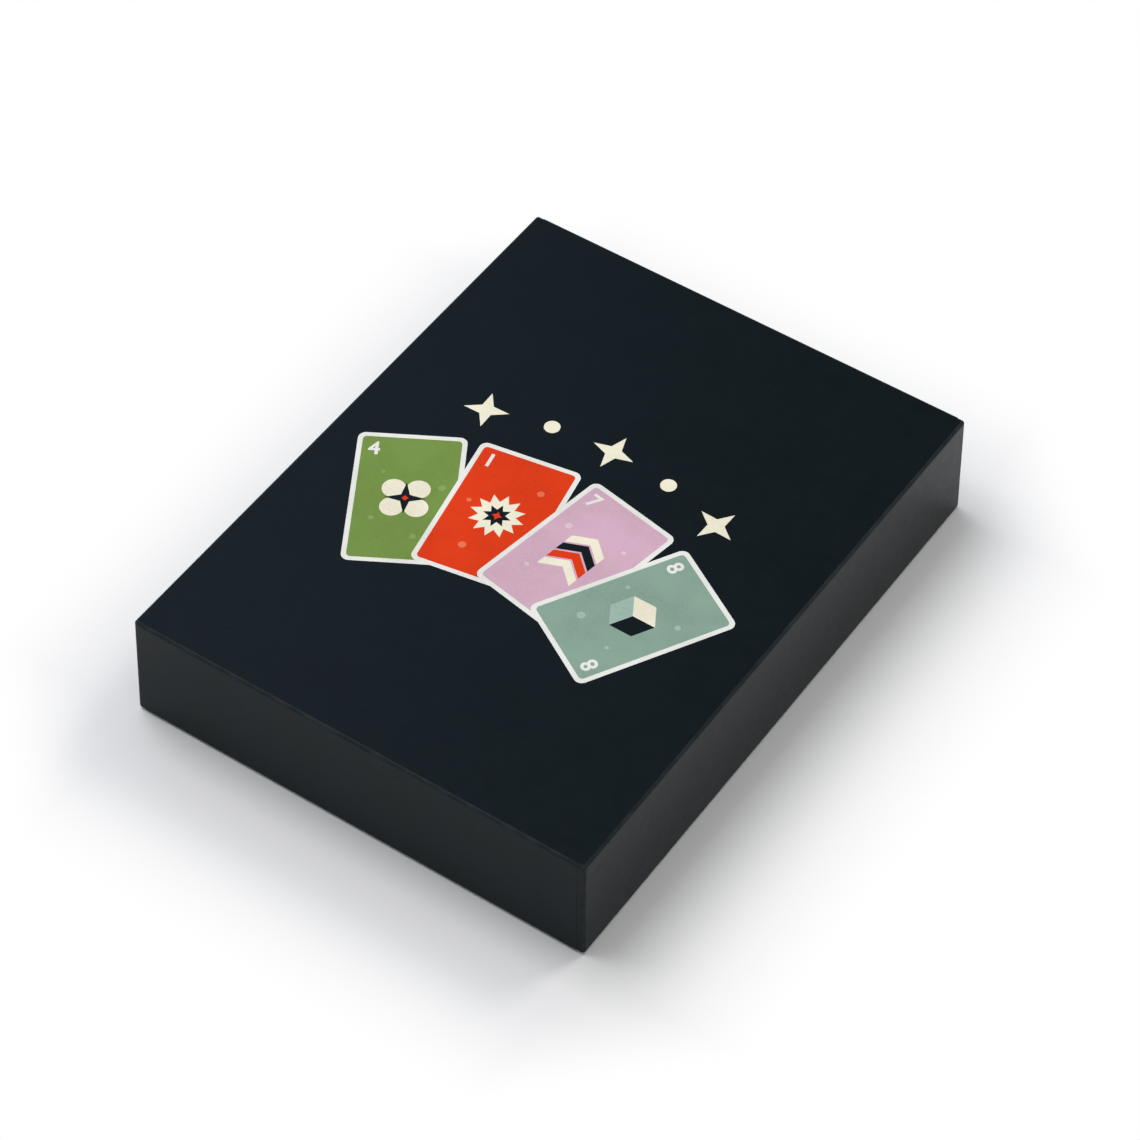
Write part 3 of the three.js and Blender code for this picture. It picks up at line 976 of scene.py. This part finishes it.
def floor():
    mesh = bpy.data.meshes.new("floor")
    half = FLOOR_SIZE / 2
    z = -FLOOR_DROP * MM
    corners = [(-half, -half, z), (half, -half, z), (half, half, z), (-half, half, z)]
    mesh.from_pydata(corners, [], [(0, 1, 2, 3)])
    look = Finish("floor_white")
    outside = look.place
    for operation, other in (
        ("SUBTRACT", [value * MM for value in FADE_SHIFT]),
        ("ABSOLUTE", (0, 0, 0)),
        ("SUBTRACT", cad_bounds[1]),
        ("MAXIMUM", (0, 0, 0)),
    ):
        outside = look.add("ShaderNodeVectorMath", {0: outside, 1: other}, operation=operation).outputs[0]
    distance = look.add("ShaderNodeVectorMath", {0: outside, 1: (1, 1, 0)}, operation="DOT_PRODUCT")
    share = look.fit(distance.outputs["Value"], FADE_START * MM, FADE_END * MM)
    look.finish(FLOOR_COLOUR, roughness=0.9, specular=0.0)
    output = look.tree.nodes["Material Output"]
    look.feed(output.inputs["Surface"], white_for_the_eye(look, share))
    mesh.materials.append(look.material)
    piece = bpy.data.objects.new("floor", mesh)
    bpy.context.scene.collection.objects.link(piece)


def room():
    """White where the eye sees it, bright round the horizon and dim overhead for the light that it gives."""
    world = bpy.data.worlds.new("room")
    bpy.context.scene.world = world
    world.use_nodes = True
    tree = world.node_tree
    place = tree.nodes.new("ShaderNodeTexCoord")
    parts = tree.nodes.new("ShaderNodeSeparateXYZ")
    ramp = tree.nodes.new("ShaderNodeValToRGB")
    tree.links.new(place.outputs["Generated"], parts.inputs[0])
    tree.links.new(parts.outputs["Z"], ramp.inputs[0])
    low, high = ramp.color_ramp.elements
    low.position = ROOM_LIGHT_END
    low.color = ROOM_LIGHT
    high.position = CEILING_LIGHT_START
    high.color = CEILING_LIGHT
    light = tree.nodes["Background"]
    tree.links.new(ramp.outputs[0], light.inputs["Color"])
    white = tree.nodes.new("ShaderNodeBackground")
    path = tree.nodes.new("ShaderNodeLightPath")
    mixer = tree.nodes.new("ShaderNodeMixShader")
    white.inputs["Color"].default_value = (1, 1, 1, 1)
    tree.links.new(path.outputs["Is Camera Ray"], mixer.inputs[0])
    tree.links.new(light.outputs[0], mixer.inputs[1])
    tree.links.new(white.outputs[0], mixer.inputs[2])
    tree.links.new(mixer.outputs[0], tree.nodes["World Output"].inputs["Surface"])


def lamp(name, azimuth, elevation, size, power, tint):
    """A square softbox that faces the box."""
    turn = math.radians(azimuth)
    rise = math.radians(elevation)
    way = Vector((math.cos(turn) * math.cos(rise), math.sin(turn) * math.cos(rise), math.sin(rise)))
    data = bpy.data.lights.new(name, "AREA")
    data.shape = "SQUARE"
    data.size = size
    data.energy = power
    data.color = tint
    piece = bpy.data.objects.new(name, data)
    piece.location = way * LAMP_DISTANCE
    piece.rotation_euler = way.to_track_quat("Z", "Y").to_euler()
    bpy.context.scene.collection.objects.link(piece)


floor()
room()
for name, settings in LAMPS.items():
    lamp(name, *settings)


# Camera

forward = Vector((
    -math.sin(CAMERA_AZIMUTH) * math.cos(CAMERA_ELEVATION),
    math.cos(CAMERA_AZIMUTH) * math.cos(CAMERA_ELEVATION),
    -math.sin(CAMERA_ELEVATION),
))
level = Vector((math.cos(CAMERA_AZIMUTH), math.sin(CAMERA_AZIMUTH), 0))
upright = level.cross(forward)
right = math.cos(CAMERA_ROLL) * level + math.sin(CAMERA_ROLL) * upright
up = math.cos(CAMERA_ROLL) * upright - math.sin(CAMERA_ROLL) * level
lens = bpy.data.cameras.new("camera")
lens.sensor_width = SENSOR_WIDTH
lens.lens = FOCAL_PIXELS / IMAGE_PIXELS * SENSOR_WIDTH
camera = bpy.data.objects.new("camera", lens)
place = Matrix.Translation((CAMERA_TARGET - CAMERA_DISTANCE * forward) * MM)
camera.matrix_world = place @ Matrix((right, up, -forward)).transposed().to_4x4()
bpy.context.scene.collection.objects.link(camera)
bpy.context.scene.camera = camera
bpy.context.scene.view_settings.view_transform = "Standard"
